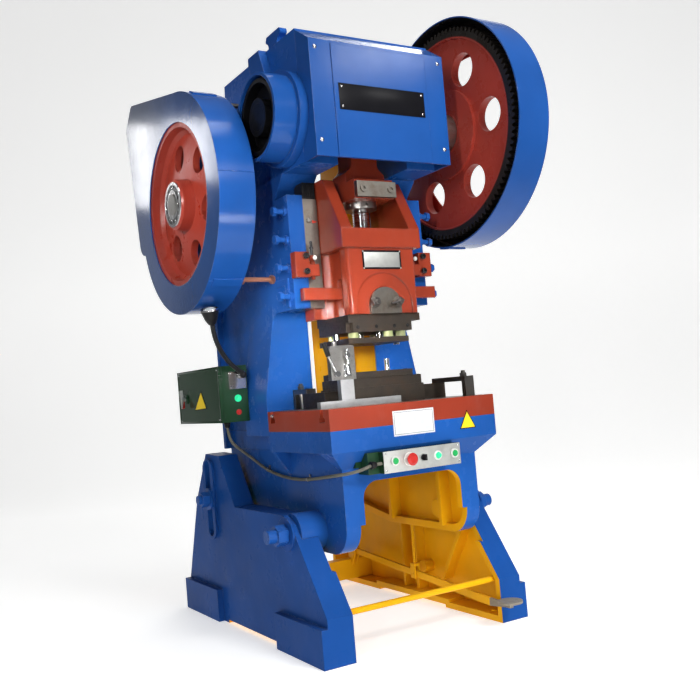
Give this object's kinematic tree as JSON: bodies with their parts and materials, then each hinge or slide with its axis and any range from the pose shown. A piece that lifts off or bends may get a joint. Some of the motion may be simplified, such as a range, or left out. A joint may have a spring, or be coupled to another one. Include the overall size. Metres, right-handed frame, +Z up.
{
  "type": "open-back inclinable stamping press",
  "caption": "Open-back inclinable stamping press with crank-driven slide, side gear and flywheel drive, die set, two-hand controls and electric box on a pair of cast legs.",
  "frame": {"origin": "centre of the four floor bolts, on the floor under the feet", "axes": "+X to the press's right as seen from its front (the gear side), +Y towards the rear, +Z up"},
  "size_m": [1.172, 1.472, 2.371],
  "materials": {
    "frame_paint": "gloss enamel over rough castings",
    "guard_paint": "gloss enamel on sheet",
    "safety_yellow": "gloss enamel",
    "slide_paint": "orange-red enamel, thin and greasy",
    "bolster_paint": "orange-red enamel, top face ground",
    "gear_paint": "oxide-red enamel, greased",
    "machined_steel": "machined, oiled",
    "die_steel": "browned tool steel",
    "polished_steel": "polished",
    "black_iron": "black, greasy",
    "bush_bronze": "turned",
    "copper_paint": "dull copper-coloured enamel",
    "belt_rubber": "moulded",
    "urethane": "cast elastomer",
    "rail_aluminium": "sawn bar",
    "panel_aluminium": "satin plate",
    "box_paint": "smooth dark green enamel",
    "lamp_lens": "clear moulding",
    "button_green": "moulded",
    "button_red": "moulded",
    "black_plastic": "moulded",
    "conduit_grey": "sleeved"
  },
  "bodies": {
    "base": {"left_leg": "frame_paint", "right_leg": "frame_paint", "rear_cross_beam": "safety_yellow", "front_tie_rod": "safety_yellow", "hinge_bolts": "frame_paint"},
    "frame": {"body_frame": "frame_paint", "slot_bolts": "frame_paint", "bolster_plate": "bolster_paint", "left_gib": "machined_steel", "right_gib": "machined_steel", "gib_bolts": "frame_paint", "hood": "guard_paint", "shaft_bushes": "bush_bronze", "brake_guard": "frame_paint", "brake_band": "black_iron", "gear_cover": "guard_paint", "flywheel_cover": "guard_paint", "stay_rods": "copper_paint", "motor": "frame_paint", "motor_base": "frame_paint", "drive_belts": "belt_rubber", "control_box": "box_paint", "control_face": "panel_aluminium", "pilot_lamps": "lamp_lens", "electric_box": "box_paint", "lamp_arm": "black_plastic", "lamp_head": "black_plastic", "conduit": "conduit_grey", "knockout_brackets": "slide_paint", "lower_die": "die_steel", "die_clamps": "machined_steel", "fixture_bracket": "rail_aluminium", "front_rail": "rail_aluminium"},
    "crank": {"crankshaft": "machined_steel", "brake_drum": "black_iron"},
    "gear": {"bull_gear": "gear_paint"},
    "flywheel_set": {"countershaft": "machined_steel", "pinion": "black_iron", "flywheel": "gear_paint"},
    "motor_rotor": {"motor_pulley": "black_iron"},
    "rod": {"connecting_rod": "slide_paint", "rod_cap": "slide_paint", "clamp_plate": "machined_steel", "ball_screw": "polished_steel", "lock_ring": "black_iron"},
    "ram": {"slide": "slide_paint", "shank_clamp": "machined_steel", "upper_die": "die_steel"},
    "stripper": {"stripper_plate": "die_steel", "stripper_springs": "urethane"},
    "knockout": {"knockout_bar": "slide_paint"},
    "pedal": {"foot_pedal": "frame_paint"},
    "pull": {"pull_rod": "safety_yellow"},
    "left_start": {"start_button_left": "button_green"},
    "right_start": {"start_button_right": "button_green"},
    "stop": {"stop_button": "button_red"},
    "selector": {"selector_knob": "black_plastic"},
    "door": {"electric_door": "box_paint"},
    "handle": {"isolator_handle": "black_plastic"},
    "lever": {"fixture_lever": "polished_steel"}
  },
  "joints": [
    {"name": "frame_tilt", "type": "hinge", "parent": "base", "child": "frame", "pos_m": [0, -0.345, 0.417], "axis": [-1, 0, 0], "range_deg": [0, 10]},
    {"name": "crank_turn", "type": "hinge", "parent": "frame", "child": "crank", "pos_m": [0, -0.35, 1.911], "axis": [-1, 0, 0], "range_deg": [0, 180]},
    {"name": "rod_swing", "type": "hinge", "parent": "crank", "child": "rod", "pos_m": [0, -0.35, 1.961], "axis": [-1, 0, 0], "range_deg": [-180, 0]},
    {"name": "slide_stroke", "type": "slide", "parent": "frame", "child": "ram", "axis": [0, 0, -1], "range_m": [0, 0.1]},
    {"name": "flywheel_turn", "type": "hinge", "parent": "frame", "child": "flywheel_set", "pos_m": [0, 0.07, 1.67862], "axis": [1, 0, 0], "continuous": true},
    {"name": "gear_turn", "type": "hinge", "parent": "frame", "child": "gear", "pos_m": [0, -0.35, 1.911], "axis": [1, 0, 0], "continuous": true},
    {"name": "motor_turn", "type": "hinge", "parent": "frame", "child": "motor_rotor", "pos_m": [0, 0.45, 2.05], "axis": [1, 0, 0], "continuous": true},
    {"name": "knockout_lift", "type": "slide", "parent": "ram", "child": "knockout", "axis": [0, 0, 1], "range_m": [0, 0.03]},
    {"name": "stripper_lift", "type": "slide", "parent": "ram", "child": "stripper", "axis": [0, 0, 1], "range_m": [0, 0.012], "stiffness_N_per_m": 20000, "springref_m": -0.003, "deforming": ["stripper_springs"]},
    {"name": "pedal_press", "type": "hinge", "parent": "base", "child": "pedal", "pos_m": [0.302, 0.415, 0.158], "axis": [1, 0, 0], "range_deg": [0, 3.4], "stiffness_Nm_per_rad": 200, "springref_deg": -17.19},
    {"name": "pull_slide", "type": "slide", "parent": "base", "child": "pull", "axis": [0, 0, -1], "range_m": [0, 0.029]},
    {"name": "left_start_press", "type": "slide", "parent": "frame", "child": "left_start", "axis": [0, 1, 0], "range_m": [0, 0.004], "stiffness_N_per_m": 300, "springref_m": -0.002},
    {"name": "right_start_press", "type": "slide", "parent": "frame", "child": "right_start", "axis": [0, 1, 0], "range_m": [0, 0.004], "stiffness_N_per_m": 300, "springref_m": -0.002},
    {"name": "stop_press", "type": "slide", "parent": "frame", "child": "stop", "axis": [0, 1, 0], "range_m": [0, 0.005]},
    {"name": "selector_turn", "type": "hinge", "parent": "frame", "child": "selector", "pos_m": [-0.013, -0.642, 0.652], "axis": [0, 1, 0], "range_deg": [-45, 45]},
    {"name": "door_swing", "type": "hinge", "parent": "frame", "child": "door", "pos_m": [-0.475, 0.018, 0.93], "axis": [0, 0, 1], "range_deg": [0, 90]},
    {"name": "handle_turn", "type": "hinge", "parent": "door", "child": "handle", "pos_m": [-0.475, 0.392, 0.922], "axis": [1, 0, 0], "range_deg": [0, 90]},
    {"name": "lever_turn", "type": "hinge", "parent": "frame", "child": "lever", "pos_m": [-0.244, -0.49, 0.966], "axis": [0, -1, 0], "range_deg": [0, 80]}
  ],
  "couplings": [
    {"joint": "rod_swing", "follows": "crank_turn", "ratio": -1},
    {"joint": "slide_stroke", "follows": "crank_turn", "m_per_rad": 0.031831},
    {"joint": "gear_turn", "follows": "flywheel_turn", "ratio": -0.15385},
    {"joint": "motor_turn", "follows": "flywheel_turn", "ratio": 4.655},
    {"joint": "pull_slide", "follows": "pedal_press", "m_per_rad": 0.485}
  ]
}
